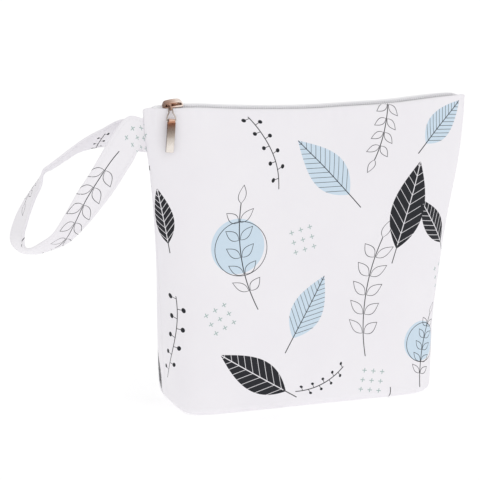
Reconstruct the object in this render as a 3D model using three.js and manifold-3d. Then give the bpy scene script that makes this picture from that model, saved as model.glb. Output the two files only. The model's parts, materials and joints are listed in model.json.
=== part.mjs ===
import * as THREE from "three";
import { mergeVertices } from "three/addons/utils/BufferGeometryUtils.js";
import Module from "manifold-3d";

// Zipped stand-up pouch with a boxed base and a wrist loop, in millimetres.
// +Z is up, the front faces -Y, the zip runs along X with its slider at the -X end.
// The origin is on the floor under the middle of the base.

// Driving sizes of the bag
const bagHeight = 224;
const topHalfWidth = 130;
const wallThickness = 1.6;
const seamPlaneY = 2;
const pieceGap = 0.3;
const baseEdgeRadius = 10;
const topTiltSlope = 0.275;

// Level sections of the bag from the base to the zip.
// shift moves a section along X, face and side are the exponents of its rounded oblong.
const bagSections = [
  { height: 0, halfWidth: 102.5, halfDepth: 39.5, shift: -7.5, face: 9, side: 3.6 },
  { height: 35, halfWidth: 105.5, halfDepth: 40, shift: -9.5, face: 7, side: 3 },
  { height: 80, halfWidth: 109.5, halfDepth: 36, shift: -7.5, face: 5.5, side: 2.5 },
  { height: 130, halfWidth: 116.2, halfDepth: 27.5, shift: -3.4, face: 5, side: 2 },
  { height: 175, halfWidth: 123.2, halfDepth: 18, shift: -0.3, face: 4.5, side: 1.8 },
  { height: 205, halfWidth: 127, halfDepth: 10.5, shift: -0.5, face: 5, side: 1.8 },
  { height: 224, halfWidth: 129.5, halfDepth: 6.6, shift: -0.5, face: 9, side: 1.8 },
];

// Rise of the top edge along the zip above the bag's nominal height.
const topEdge = [
  { across: -1, rise: -3.5 },
  { across: -0.97, rise: -0.9 },
  { across: -0.86, rise: -0.1 },
  { across: -0.68, rise: -0.3 },
  { across: -0.5, rise: -2 },
  { across: -0.25, rise: -3.7 },
  { across: 0, rise: -4.5 },
  { across: 0.2, rise: -4 },
  { across: 0.5, rise: -3 },
  { across: 0.86, rise: 0.5 },
  { across: 0.97, rise: -0.4 },
  { across: 1, rise: -3.1 },
];
const topEdgeFade = 5;

// Zip: two tapes with the closed coil between them, in a plane just under the top edges
const zipSink = 1.6;
const tapeHalfLength = 119.5;
const tapeThickness = 0.8;
const coilHalfWidth = 2;
const coilHeight = 2.3;
const coilRightEnd = 118;
const coilSides = 8;
const zipStations = 36;

// Zip slider, its bail and the eye of its pull
const sliderX = -106;
const sliderLength = 15;
const sliderNoseHalfWidth = 4.6;
const sliderTailHalfWidth = 3.6;
const sliderPlateThickness = 1.5;
const sliderWaistSwell = 0.3;
const sliderTailCorner = { along: 1.2, across: 1 };
const sliderNoseRound = 2.5;
const sliderNoseFlatHalf = 1.6;
const sliderUnderShare = 0.86;
const metalOverlap = 0.2;
const sliderTopPlate = 2;
const sliderUnderPlate = -3.1;
const sliderPostLength = 3.4;
const sliderPostHalfWidth = 1.4;
const bailHalfWidth = 2.8;
const bailThickness = 1.2;
const bailPath = [
  { along: -6.5, up: 2.8 },
  { along: -5.9, up: 4.1 },
  { along: -4.4, up: 4.8 },
  { along: 4.4, up: 5.1 },
  { along: 6.1, up: 4.3 },
  { along: 6.6, up: 2.8 },
];
const eyeOffset = 7.6;
const eyeLevel = 3;
const eyeRadius = 1.9;
const eyeHoleRadius = 1.05;
const eyeThickness = 1.6;
const eyeNeckRise = 0.1;
const eyeNeckOverlap = 0.6;

// Pull: a wire link through the eye and a flat tab with a rolled end on the link
const pullX = -110;
const wireRadius = 0.5;
const linkLength = 9.5;
const linkTopHalfWidth = 2;
const linkLowHalfWidth = 3.25;
const linkBend = 0.65;
const linkLean = THREE.MathUtils.degToRad(13);
const tabLean = THREE.MathUtils.degToRad(4);
const tabSlant = THREE.MathUtils.degToRad(4);
const tabLength = 22.5;
const tabHalfWidth = 3.2;
const tabFootHalfWidth = 3.6;
const tabThickness = 1.3;
const tabCornerRadius = 0.8;
const rollRadius = 1.75;
const rollHoleRadius = 0.9;
const rollHalfWidth = 2.3;
const tabShoulderOverlap = 0.4;
const roundSegments = 14;
const wireSegments = 48;
const wireSides = 8;

// Wrist loop: a cloth band from the side seam round and back to it
const strapWidth = 25;
const strapThickness = 2.2;
const strapRootHeight = 204.5;
const strapStepsPerRow = 4;

// Course of the wrist loop: middle of the band, and the direction of its width from lower to upper edge.
const strapCourse = [
  { x: -135.5, y: -0.5, z: 206, spanX: -0.29, spanY: 0.08, spanZ: 0.95 },
  { x: -149, y: -6, z: 191, spanX: -0.73, spanY: -0.17, spanZ: 0.66 },
  { x: -162, y: -11, z: 174, spanX: -0.76, spanY: -0.26, spanZ: 0.59 },
  { x: -173, y: -12, z: 160, spanX: -0.74, spanY: -0.35, spanZ: 0.58 },
  { x: -183, y: -9, z: 145, spanX: -0.72, spanY: -0.54, spanZ: 0.44 },
  { x: -192, y: -4, z: 133, spanX: -0.59, spanY: -0.69, spanZ: 0.41 },
  { x: -200, y: 3, z: 127, spanX: -0.42, spanY: -0.81, spanZ: 0.4 },
  { x: -209, y: 11, z: 122, spanX: -0.36, spanY: -0.88, spanZ: 0.32 },
  { x: -215.5, y: 16, z: 123, spanX: -0.07, spanY: -0.94, spanZ: 0.33 },
  { x: -218, y: 21, z: 130, spanX: 0.19, spanY: -0.94, spanZ: 0.28 },
  { x: -213.5, y: 27, z: 142, spanX: 0.14, spanY: -0.99, spanZ: 0.08 },
  { x: -205.5, y: 32, z: 156, spanX: 0.02, spanY: -1, spanZ: 0.09 },
  { x: -198, y: 36, z: 166, spanX: -0.09, spanY: -0.99, spanZ: 0.1 },
  { x: -193, y: 39, z: 175, spanX: -0.25, spanY: -0.95, spanZ: 0.2 },
  { x: -188, y: 40, z: 177.6, spanX: -0.27, spanY: -0.93, spanZ: 0.24 },
  { x: -179, y: 40, z: 183.3, spanX: -0.34, spanY: -0.91, spanZ: 0.24 },
  { x: -170, y: 39, z: 189.3, spanX: -0.36, spanY: -0.89, spanZ: 0.27 },
  { x: -160, y: 34, z: 195, spanX: -0.39, spanY: -0.82, spanZ: 0.42 },
  { x: -150, y: 25, z: 199.4, spanX: -0.4, spanY: -0.68, spanZ: 0.61 },
  { x: -140, y: 13, z: 203, spanX: -0.2, spanY: -0.3, spanZ: 0.93 },
];

// Mesh density
const wallRows = 20;
const baseEdgeRows = 4;
const wallColumns = 40;
const outlineSamples = 900;
const mergeDistance = 1e-4;

// A value read from a table by a smooth curve through its rows.
function readTable(rows, key, column, at) {
  const last = rows.length - 1;
  const place = Math.min(Math.max(at, rows[0][key]), rows[last][key]);
  let index = 0;
  while (index < last - 1 && place > rows[index + 1][key]) index += 1;
  const slopeAt = (i) => {
    const before = Math.max(i - 1, 0);
    const after = Math.min(i + 1, last);
    return (rows[after][column] - rows[before][column]) / (rows[after][key] - rows[before][key]);
  };
  const span = rows[index + 1][key] - rows[index][key];
  const t = (place - rows[index][key]) / span;
  const start = rows[index][column];
  const end = rows[index + 1][column];
  const startSlope = slopeAt(index) * span;
  const endSlope = slopeAt(index + 1) * span;
  const t2 = t * t;
  const t3 = t2 * t;
  return (
    (2 * t3 - 3 * t2 + 1) * start +
    (t3 - 2 * t2 + t) * startSlope +
    (3 * t2 - 2 * t3) * end +
    (t3 - t2) * endSlope
  );
}

// How far the rounded lower edge draws a section in at a height.
function baseEdgeInset(height) {
  if (height >= baseEdgeRadius) return 0;
  const drop = baseEdgeRadius - height;
  return baseEdgeRadius - Math.sqrt(baseEdgeRadius * baseEdgeRadius - drop * drop);
}

// The section of the bag at a height, drawn in by an inset.
function sectionAt(height, inset) {
  const read = (column) => readTable(bagSections, "height", column, height);
  const drawnIn = inset + baseEdgeInset(height);
  return {
    halfWidth: read("halfWidth") - drawnIn,
    halfDepth: read("halfDepth") - drawnIn,
    shift: read("shift"),
    face: read("face"),
    side: read("side"),
  };
}

// Depth of a section in front of or behind the seam plane at a distance along X.
function sectionDepth(section, x) {
  const across = Math.min(Math.abs((x - section.shift) / section.halfWidth), 1);
  return section.halfDepth * Math.pow(1 - Math.pow(across, section.face), 1 / section.side);
}

// Half of a section from the left tip to the right tip, evenly spaced along its length.
// facing is -1 for the front half and 1 for the back half.
function halfOutline(section, facing, columns) {
  const dense = [];
  for (let i = 0; i <= outlineSamples; i += 1) {
    const angle = Math.PI * (1 - i / outlineSamples);
    const c = Math.cos(angle);
    const s = Math.abs(Math.sin(angle));
    const x = section.shift + section.halfWidth * Math.sign(c) * Math.pow(Math.abs(c), 2 / section.face);
    dense.push(new THREE.Vector2(x, facing * section.halfDepth * Math.pow(s, 2 / section.side)));
  }
  const lengths = [0];
  for (let i = 1; i < dense.length; i += 1) lengths.push(lengths[i - 1] + dense[i].distanceTo(dense[i - 1]));
  const total = lengths[lengths.length - 1];
  const points = [];
  let index = 0;
  for (let j = 0; j <= columns; j += 1) {
    const goal = (total * j) / columns;
    while (index < dense.length - 2 && lengths[index + 1] < goal) index += 1;
    const t = (goal - lengths[index]) / (lengths[index + 1] - lengths[index]);
    points.push(dense[index].clone().lerp(dense[index + 1], Math.min(t, 1)));
  }
  return points;
}

// The dip of the top edge and the tilt of the zip, fading out down the walls.
function topLift(x, y, height) {
  const fade = Math.pow(height / bagHeight, topEdgeFade);
  const dip = readTable(topEdge, "across", "rise", x / topHalfWidth);
  return fade * (dip + topTiltSlope * y);
}

function bagPoint(flat, height, facing) {
  const y = flat.y + (facing * pieceGap) / 2;
  return [flat.x, seamPlaneY + y, height + topLift(flat.x, y, height)];
}

// Closed triangle mesh from vertex rows and face index triples.
function meshGeometry(vertices, faces) {
  const geometry = new THREE.BufferGeometry();
  geometry.setAttribute("position", new THREE.Float32BufferAttribute(vertices.flat(), 3));
  geometry.setIndex(faces.flat());
  return geometry;
}

// One cloth wall of the bag: half of every section, with its half of the base.
function panelGeometry(facing) {
  const vertices = [];
  const faces = [];
  const columns = wallColumns;
  const perRow = columns + 1;
  const innerStart = (wallRows + 1) * perRow;
  const rowHeight = (row) => {
    const turn = (Math.PI / 2) * Math.min(row / baseEdgeRows, 1);
    const climb = Math.max(row - baseEdgeRows, 0) / (wallRows - baseEdgeRows);
    return baseEdgeRadius * (1 - Math.cos(turn)) + (bagHeight - baseEdgeRadius) * climb;
  };
  for (const inset of [0, wallThickness]) {
    for (let row = 0; row <= wallRows; row += 1) {
      const height = rowHeight(row);
      const level = inset + (height * (bagHeight - inset)) / bagHeight;
      const outline = halfOutline(sectionAt(height, inset), facing, columns);
      for (const flat of outline) vertices.push(bagPoint(flat, level, facing));
    }
  }
  const outward = (a, b, c) => faces.push(facing < 0 ? [a, b, c] : [a, c, b]);
  const quad = (a, b, c, d) => {
    outward(a, b, c);
    outward(a, c, d);
  };
  const outer = (row, column) => row * perRow + column;
  const inner = (row, column) => innerStart + row * perRow + column;
  for (let row = 0; row < wallRows; row += 1) {
    for (let j = 0; j < columns; j += 1) {
      quad(outer(row, j), outer(row, j + 1), outer(row + 1, j + 1), outer(row + 1, j));
      quad(inner(row, j), inner(row + 1, j), inner(row + 1, j + 1), inner(row, j + 1));
    }
    quad(outer(row, 0), outer(row + 1, 0), inner(row + 1, 0), inner(row, 0));
    quad(outer(row, columns), inner(row, columns), inner(row + 1, columns), outer(row + 1, columns));
  }
  for (let j = 0; j < columns; j += 1) {
    quad(outer(wallRows, j), outer(wallRows, j + 1), inner(wallRows, j + 1), inner(wallRows, j));
  }
  const seamLine = (corner) =>
    Array.from({ length: perRow }, (_, j) => {
      if (j === 0 || j === columns) return corner(0, j);
      const [x, , z] = vertices[corner(0, j)];
      return vertices.push([x, vertices[corner(0, 0)][1], z]) - 1;
    });
  const outerLine = seamLine(outer);
  const innerLine = seamLine(inner);
  for (let j = 0; j < columns; j += 1) {
    const next = j + 1;
    if (j > 0) outward(outer(0, j), outerLine[j], outer(0, next));
    if (j > 0) outward(inner(0, j), inner(0, next), innerLine[j]);
    if (next < columns || j === 0) outward(outerLine[j], outerLine[next], outer(0, next));
    if (next < columns || j === 0) outward(innerLine[j], inner(0, next), innerLine[next]);
    quad(outerLine[j], innerLine[j], innerLine[next], outerLine[next]);
  }
  return meshGeometry(vertices, faces);
}

// Rings joined into one closed body, turned so that its faces point outwards.
function sweptGeometry(rings) {
  const sides = rings[0].length;
  const vertices = rings.flat();
  const faces = [];
  for (let i = 0; i < rings.length - 1; i += 1) {
    for (let k = 0; k < sides; k += 1) {
      const next = (k + 1) % sides;
      const here = i * sides;
      const there = here + sides;
      faces.push([here + k, here + next, there + next], [here + k, there + next, there + k]);
    }
  }
  const end = (rings.length - 1) * sides;
  for (let k = 1; k < sides - 1; k += 1) faces.push([0, k + 1, k], [end, end + k, end + k + 1]);
  let volume = 0;
  const corner = (index) => new THREE.Vector3(...vertices[index]);
  for (const [a, b, c] of faces) volume += corner(a).dot(corner(b).cross(corner(c)));
  return meshGeometry(vertices, volume > 0 ? faces : faces.map(([a, b, c]) => [a, c, b]));
}

// Level of the zip plane at a place along and across the zip.
function zipLevel(x, y) {
  return bagHeight - zipSink + topLift(x, y, bagHeight);
}

// One zip tape, from the coil out to the cloth wall.
function tapeGeometry(facing) {
  const mouth = sectionAt(bagHeight, wallThickness);
  const rings = [];
  for (let i = 0; i <= zipStations; i += 1) {
    const x = tapeHalfLength * ((2 * i) / zipStations - 1);
    const inside = facing * (coilHalfWidth + pieceGap);
    const reach = Math.max(sectionDepth(mouth, x) - pieceGap, coilHalfWidth + 2 * pieceGap);
    const half = tapeThickness / 2;
    const edge = (y, up) => [x, seamPlaneY + y, zipLevel(x, y) + up];
    const outside = facing * reach;
    rings.push([edge(inside, half), edge(outside, half), edge(outside, -half), edge(inside, -half)]);
  }
  return sweptGeometry(rings);
}

// The closed coil, from the slider's post to the right end of the zip.
function coilGeometry() {
  const leftEnd = sliderX - sliderLength / 2 + sliderPostLength + 2 * pieceGap;
  const rings = [];
  for (let i = 0; i <= zipStations; i += 1) {
    const x = leftEnd + ((coilRightEnd - leftEnd) * i) / zipStations;
    const ring = [];
    for (let k = 0; k < coilSides; k += 1) {
      const angle = (2 * Math.PI * (k + 0.5)) / coilSides;
      const y = coilHalfWidth * Math.cos(angle);
      ring.push([x, seamPlaneY + y, zipLevel(x, y) + (coilHeight / 2) * Math.sin(angle)]);
    }
    rings.push(ring);
  }
  return sweptGeometry(rings);
}

const wasm = await Module();
wasm.setup();

function solidFrom(geometry) {
  const bare = new THREE.BufferGeometry();
  bare.setAttribute("position", geometry.getAttribute("position"));
  bare.setIndex(geometry.index);
  const merged = mergeVertices(bare, mergeDistance);
  return new wasm.Manifold(
    new wasm.Mesh({
      numProp: 3,
      vertProperties: new Float32Array(merged.attributes.position.array),
      triVerts: new Uint32Array(merged.index.array),
    }),
  );
}

function geometryFrom(solid) {
  const mesh = solid.getMesh();
  const geometry = new THREE.BufferGeometry();
  geometry.setAttribute("position", new THREE.BufferAttribute(mesh.vertProperties, 3));
  geometry.setIndex(new THREE.BufferAttribute(mesh.triVerts, 1));
  return geometry;
}

// Pieces of metal that are cast or soldered into one body.
function joined(geometries) {
  return geometryFrom(geometries.map(solidFrom).reduce((whole, next) => whole.add(next)));
}

// A flat shape extruded to a thickness, its flat side at zero.
function plate(shape, thickness) {
  const settings = { depth: thickness, bevelEnabled: false, curveSegments: roundSegments };
  return new THREE.ExtrudeGeometry(shape, settings);
}

// Outline of a slider plate: broad at the nose, narrower at the tail, rounded corners.
function sliderOutline() {
  const half = sliderLength / 2;
  const tail = sliderTailHalfWidth;
  const waist = sliderTailHalfWidth + sliderWaistSwell;
  const nose = sliderNoseHalfWidth;
  const tailSide = tail - sliderTailCorner.across;
  const tailEnd = half - sliderTailCorner.along;
  const noseEnd = sliderNoseRound - half;
  const shape = new THREE.Shape();
  shape.moveTo(half, -tailSide);
  shape.lineTo(half, tailSide);
  shape.quadraticCurveTo(half, tail, tailEnd, tail);
  shape.lineTo(0, waist);
  shape.lineTo(noseEnd, nose);
  shape.quadraticCurveTo(-half, nose, -half, sliderNoseFlatHalf);
  shape.lineTo(-half, -sliderNoseFlatHalf);
  shape.quadraticCurveTo(-half, -nose, noseEnd, -nose);
  shape.lineTo(0, -waist);
  shape.lineTo(tailEnd, -tail);
  shape.quadraticCurveTo(half, -tail, half, -tailSide);
  return shape;
}

// The bail: a strip bent over the slider along the zip.
function bailGeometry() {
  const points = bailPath.map((row) => new THREE.Vector2(row.along, row.up));
  const rings = points.map((point, i) => {
    const before = points[Math.max(i - 1, 0)];
    const after = points[Math.min(i + 1, points.length - 1)];
    const run = after.clone().sub(before).normalize();
    const lift = new THREE.Vector2(-run.y, run.x).multiplyScalar(bailThickness / 2);
    const high = point.clone().add(lift);
    const low = point.clone().sub(lift);
    return [
      [high.x, -bailHalfWidth, high.y],
      [high.x, bailHalfWidth, high.y],
      [low.x, bailHalfWidth, low.y],
      [low.x, -bailHalfWidth, low.y],
    ];
  });
  return sweptGeometry(rings);
}

// The eye in front of the slider's top plate, its hole along the zip.
function eyeGeometry() {
  const shape = new THREE.Shape();
  const neckTop = sliderTopPlate + sliderPlateThickness - eyeLevel;
  const neckLow = sliderTopPlate + eyeNeckRise - eyeLevel;
  const reach = eyeOffset - sliderTailHalfWidth + eyeNeckOverlap;
  const upper = Math.asin(neckTop / eyeRadius);
  const lower = Math.asin(neckLow / eyeRadius);
  shape.moveTo(reach, neckTop);
  shape.absarc(0, 0, eyeRadius, upper, 2 * Math.PI + lower, false);
  shape.lineTo(reach, neckLow);
  shape.closePath();
  const hole = new THREE.Path();
  hole.absarc(0, 0, eyeHoleRadius, 0, 2 * Math.PI, true);
  shape.holes.push(hole);
  const geometry = plate(shape, eyeThickness);
  geometry.translate(0, 0, -eyeThickness / 2);
  geometry.rotateX(Math.PI / 2);
  geometry.rotateZ(Math.PI / 2);
  geometry.translate(pullX - sliderX, -eyeOffset, eyeLevel);
  return geometry;
}

const zipTilt = Math.atan(topTiltSlope);
const sliderFrame = new THREE.Matrix4()
  .makeTranslation(sliderX, seamPlaneY, zipLevel(sliderX, 0))
  .multiply(new THREE.Matrix4().makeRotationX(zipTilt));

function sliderGeometry() {
  const topPlate = plate(sliderOutline(), sliderPlateThickness);
  topPlate.translate(0, 0, sliderTopPlate);
  const underPlate = plate(sliderOutline(), sliderPlateThickness);
  underPlate.scale(1, sliderUnderShare, 1);
  underPlate.translate(0, 0, sliderUnderPlate);
  const postHeight = sliderTopPlate - sliderUnderPlate;
  const post = new THREE.BoxGeometry(sliderPostLength, 2 * sliderPostHalfWidth, postHeight);
  post.translate((sliderPostLength - sliderLength) / 2, 0, sliderUnderPlate + metalOverlap + postHeight / 2);
  const whole = joined([topPlate, underPlate, post, bailGeometry(), eyeGeometry()]);
  return whole.applyMatrix4(sliderFrame);
}

const linkPivot = new THREE.Vector3(pullX - sliderX, -eyeOffset, eyeLevel).applyMatrix4(sliderFrame);
const tabPivot = new THREE.Vector3(0, 0, -linkLength)
  .applyAxisAngle(new THREE.Vector3(1, 0, 0), -linkLean)
  .add(linkPivot);

// The wire link, hanging from the eye with its lower bar in the tab's roll.
function linkGeometry() {
  const top = linkTopHalfWidth - linkBend;
  const low = linkLowHalfWidth - linkBend;
  const corners = [
    [-top, 0],
    [0, 0],
    [top, 0],
    [linkTopHalfWidth, -linkBend],
    [linkLowHalfWidth, linkBend - linkLength],
    [low, -linkLength],
    [0, -linkLength],
    [-low, -linkLength],
    [-linkLowHalfWidth, linkBend - linkLength],
    [-linkTopHalfWidth, -linkBend],
  ];
  const course = new THREE.CatmullRomCurve3(
    corners.map(([x, z]) => new THREE.Vector3(x, 0, z)),
    true,
    "centripetal",
  );
  const geometry = new THREE.TubeGeometry(course, wireSegments, wireRadius, wireSides, true);
  geometry.rotateX(-linkLean);
  geometry.translate(linkPivot.x, linkPivot.y, linkPivot.z);
  return mergeVertices(geometry.deleteAttribute("uv").deleteAttribute("normal"), mergeDistance);
}

// The flat tab with its rolled upper end, hanging a little askew.
function tabGeometry() {
  const outline = new THREE.Shape();
  const foot = -tabLength;
  const corner = tabCornerRadius;
  const shoulder = tabShoulderOverlap - rollRadius;
  outline.moveTo(-tabHalfWidth, shoulder);
  outline.lineTo(-tabFootHalfWidth, foot + corner);
  outline.quadraticCurveTo(-tabFootHalfWidth, foot, corner - tabFootHalfWidth, foot);
  outline.lineTo(tabFootHalfWidth - corner, foot);
  outline.quadraticCurveTo(tabFootHalfWidth, foot, tabFootHalfWidth, foot + corner);
  outline.lineTo(tabHalfWidth, shoulder);
  outline.closePath();
  const blade = plate(outline, tabThickness);
  blade.rotateX(Math.PI / 2);
  blade.translate(0, tabThickness / 2, 0);
  const ring = new THREE.Shape();
  ring.absarc(0, 0, rollRadius, 0, 2 * Math.PI, false);
  const hole = new THREE.Path();
  hole.absarc(0, 0, rollHoleRadius, 0, 2 * Math.PI, true);
  ring.holes.push(hole);
  const roll = plate(ring, 2 * rollHalfWidth);
  roll.translate(0, 0, -rollHalfWidth);
  roll.rotateY(Math.PI / 2);
  const whole = joined([blade, roll]);
  whole.rotateY(tabSlant);
  whole.rotateX(-tabLean);
  return whole.translate(tabPivot.x, tabPivot.y, tabPivot.z);
}

// The side seam on the left, where the band's ends are caught.
function leftSeam(height) {
  const section = sectionAt(height, 0);
  const x = section.shift - section.halfWidth - pieceGap;
  return new THREE.Vector3(x, seamPlaneY, height + topLift(x, 0, height));
}

function strapGeometry() {
  const seamLow = leftSeam(strapRootHeight - strapWidth / 2);
  const seamHigh = leftSeam(strapRootHeight + strapWidth / 2);
  const rootSpan = seamHigh.clone().sub(seamLow).normalize();
  const rootMiddle = seamHigh.clone().add(seamLow).multiplyScalar(0.5);
  const beside = strapThickness / 2 + pieceGap;
  const rootRow = (side) => ({ middle: rootMiddle.clone().setY(seamPlaneY + side * beside), span: rootSpan });
  const rows = [
    rootRow(-1),
    ...strapCourse.map((row) => ({
      middle: new THREE.Vector3(row.x, row.y, row.z),
      span: new THREE.Vector3(row.spanX, row.spanY, row.spanZ).normalize(),
    })),
    rootRow(1),
  ];
  const course = new THREE.CatmullRomCurve3(rows.map((row) => row.middle));
  const spans = new THREE.CatmullRomCurve3(rows.map((row) => row.span));
  const steps = (rows.length - 1) * strapStepsPerRow;
  const rings = [];
  for (let i = 0; i <= steps; i += 1) {
    const t = i / steps;
    const middle = course.getPoint(t);
    const run = course.getTangent(t);
    const span = spans.getPoint(t).normalize();
    const across = new THREE.Vector3().crossVectors(run, span).normalize();
    const corner = (side, face) =>
      middle
        .clone()
        .addScaledVector(span, (side * strapWidth) / 2)
        .addScaledVector(across, (face * strapThickness) / 2)
        .toArray();
    rings.push([corner(-1, -1), corner(1, -1), corner(1, 1), corner(-1, 1)]);
  }
  return sweptGeometry(rings);
}

// Looks of the pieces
const cloth = { color: 0xefedf2, roughness: 0.85, metalness: 0 };
const zipTape = { color: 0xe0dfe2, roughness: 0.8, metalness: 0 };
const zipNylon = { color: 0xd6d5d8, roughness: 0.5, metalness: 0 };
const roseMetal = { color: 0xb58f7a, roughness: 0.3, metalness: 1 };
const paleMetal = { color: 0xc9c2bb, roughness: 0.25, metalness: 1 };

const group = new THREE.Group();
function addPiece(name, geometry, look) {
  const piece = new THREE.Mesh(geometry, new THREE.MeshStandardMaterial(look));
  piece.name = name;
  group.add(piece);
}

addPiece("front_panel", panelGeometry(-1), cloth);
addPiece("back_panel", panelGeometry(1), cloth);
addPiece("zip_tape_front", tapeGeometry(-1), zipTape);
addPiece("zip_tape_back", tapeGeometry(1), zipTape);
addPiece("zip_coil", coilGeometry(), zipNylon);
addPiece("zip_slider", sliderGeometry(), roseMetal);
addPiece("pull_link", linkGeometry(), paleMetal);
addPiece("pull_tab", tabGeometry(), roseMetal);
addPiece("wrist_strap", strapGeometry(), cloth);

export default group;
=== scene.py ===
import json
from collections import namedtuple
from functools import partialmethod
from math import atan, cos, degrees, pi, radians, sin, sqrt

import bmesh
import bpy
import numpy as np
from mathutils import Matrix, Vector


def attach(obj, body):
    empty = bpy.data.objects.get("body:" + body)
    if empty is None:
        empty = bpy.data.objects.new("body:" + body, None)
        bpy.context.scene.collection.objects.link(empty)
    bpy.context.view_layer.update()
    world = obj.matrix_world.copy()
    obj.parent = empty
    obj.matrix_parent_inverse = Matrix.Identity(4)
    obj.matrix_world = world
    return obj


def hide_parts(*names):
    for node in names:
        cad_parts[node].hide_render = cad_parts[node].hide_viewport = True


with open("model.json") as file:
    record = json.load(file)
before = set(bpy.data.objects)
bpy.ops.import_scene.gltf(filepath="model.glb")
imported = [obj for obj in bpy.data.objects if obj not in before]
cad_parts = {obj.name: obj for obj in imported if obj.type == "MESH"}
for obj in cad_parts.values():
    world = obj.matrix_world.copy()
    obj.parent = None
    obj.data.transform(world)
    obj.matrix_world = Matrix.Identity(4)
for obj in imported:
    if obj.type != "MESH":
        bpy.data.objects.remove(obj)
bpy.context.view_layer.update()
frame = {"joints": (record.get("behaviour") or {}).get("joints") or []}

# Sizes are in millimetres and angles in degrees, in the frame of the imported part:
# +Z up, the front towards -Y, the zip along X with its slider at the -X end.
MM = 0.001
LEAST_GAP = 1e-6
LEAST_LENGTH = 1e-9
MERGE_DISTANCE = 0.001
ALONG_X, ALONG_Y, ALONG_Z = np.eye(3)


def table(columns, *rows):
    """A short table as one array for each named column."""
    return dict(zip(columns.split(), np.array(rows, float).T))


# The bag's shape: that of its solids, with crisper lower corners, a narrower base and shorter top corners
BAG_HEIGHT = 224
TOP_HALF_WIDTH = 130
WALL_THICKNESS = 1.6
SEAM_PLANE_Y = 2
PIECE_GAP = 0.3
BASE_EDGE_RADIUS = 7
TOP_TILT_SLOPE = 0.275
TOP_EDGE_FADE = 5
OUTLINE_SAMPLES = 900
BAG_SECTIONS = table(
    "height half_width half_depth shift face side",
    (0, 100.5, 39.5, -10, 12, 5),
    (35, 105, 40, -10, 7.5, 3.2),
    (80, 109.5, 36, -7.5, 5.5, 2.5),
    (130, 116.2, 27.5, -3.4, 5, 2),
    (175, 123.2, 18, -0.3, 4.5, 1.8),
    (205, 127, 10.5, -0.5, 5, 1.8),
    (224, 128, 6.6, -0.5, 9, 1.8),
)
TOP_EDGE = table(
    "across rise",
    (-1, -3.5), (-0.97, -0.9), (-0.86, -0.1), (-0.68, -0.3), (-0.5, -2), (-0.25, -3.7),
    (0, -4.5), (0.2, -4), (0.5, -3), (0.86, 0.5), (0.97, -0.4), (1, -3.1),
)

# Cloth of the two panels. A pair gives where a form starts and where it is full.
CLOTH_THICKNESS = 0.7
PANEL_COLUMNS = 190
SEAM_CROWDING = 0.62
BASE_ROWS = 8
EDGE_ROWS = 12
WALL_ROWS = 128
ROLL_ROWS = 7
HEM_ROWS = 5
HEM_DEPTH = 9
SEAM_TUCK = 5
SEAM_TUCK_GAP = 0.02
SEAM_TUCK_START_ROW = 4
GROOVE_DEPTH = 0.5
GROOVE_WIDTH = 0.75
PINCH_ALONG = (119.5, 124)
PINCH_UP = (BAG_HEIGHT - 22, BAG_HEIGHT - 4)
SLACK_WAVES = table(
    "across up turn depth",
    (150, 190, 0.6, 0.42),
    (-96, 140, 2.2, 0.3),
    (61, 118, 4.1, 0.2),
    (-44, 77, 1.1, 0.13),
    (310, -64, 3.3, 0.2),
)
SLACK_FROM_BASE = (4, 30)
SLACK_FROM_TOP = (1, 26)
SLACK_FROM_SEAM = (0, 22)
PUCKER_LENGTH = 9.5
PUCKER_DEPTH = 0.17
PUCKER_REACH = 8
PUCKER_FROM_TOP = (0, 2.5)
PUCKER_WANDER = 1.6
WANDER_LENGTH = 53
PUCKER_MEAN = 0.6
PUCKER_SWELL = 0.4
SWELL_LENGTH = 37
GATHER_LENGTH = 6.5
GATHER_DEPTH = 0.16
GATHER_REACH = 5
GATHER_FROM_SEAM = (0, 2)
GATHER_FROM_BASE = (8, 20)
BACK_LIP_DROP = 1.5
BACK_LIP_REACH = 10
BACK_CUT = 20

# Wrist loop, with its root where both ends are caught in the side seam
STRAP_WIDTH = 25
STRAP_THICKNESS = 2.2
ROOT_HEIGHT = 204.5
ROOT_SINK = 3.5
ROOT_THICKNESS = 0.7
ROOT_LENGTH = 9
ROOT_MARGIN = 2
ROOT_OPENING = (0.5, 8)
STRAP_STEPS = 9
STRAP_COLUMNS = 25
STRAP_STITCH_INSET = 2.4
STRAP_DENT = 0.4
STRAP_DENT_WIDTH = 0.9
STRAP_CUT = (2.5, 8)
STRAP_COURSE = table(
    "x y z span_x span_y span_z",
    (-135.5, -0.5, 206, -0.29, 0.08, 0.95),
    (-149, -6, 191, -0.73, -0.17, 0.66),
    (-162, -11, 174, -0.76, -0.26, 0.59),
    (-173, -12, 160, -0.74, -0.35, 0.58),
    (-183, -9, 145, -0.72, -0.54, 0.44),
    (-192, -4, 133, -0.59, -0.69, 0.41),
    (-200, 3, 127, -0.42, -0.81, 0.4),
    (-209, 11, 122, -0.36, -0.88, 0.32),
    (-215.5, 16, 123, -0.07, -0.94, 0.33),
    (-218, 21, 130, 0.19, -0.94, 0.28),
    (-213.5, 27, 142, 0.14, -0.99, 0.08),
    (-205.5, 32, 156, 0.02, -1, 0.09),
    (-198, 36, 166, -0.09, -0.99, 0.1),
    (-193, 39, 175, -0.25, -0.95, 0.2),
    (-188, 40, 177.6, -0.27, -0.93, 0.24),
    (-179, 40, 183.3, -0.34, -0.91, 0.24),
    (-170, 39, 189.3, -0.36, -0.89, 0.27),
    (-160, 34, 195, -0.39, -0.82, 0.42),
    (-150, 25, 199.4, -0.4, -0.68, 0.61),
    (-140, 13, 203, -0.2, -0.3, 0.93),
)

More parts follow.
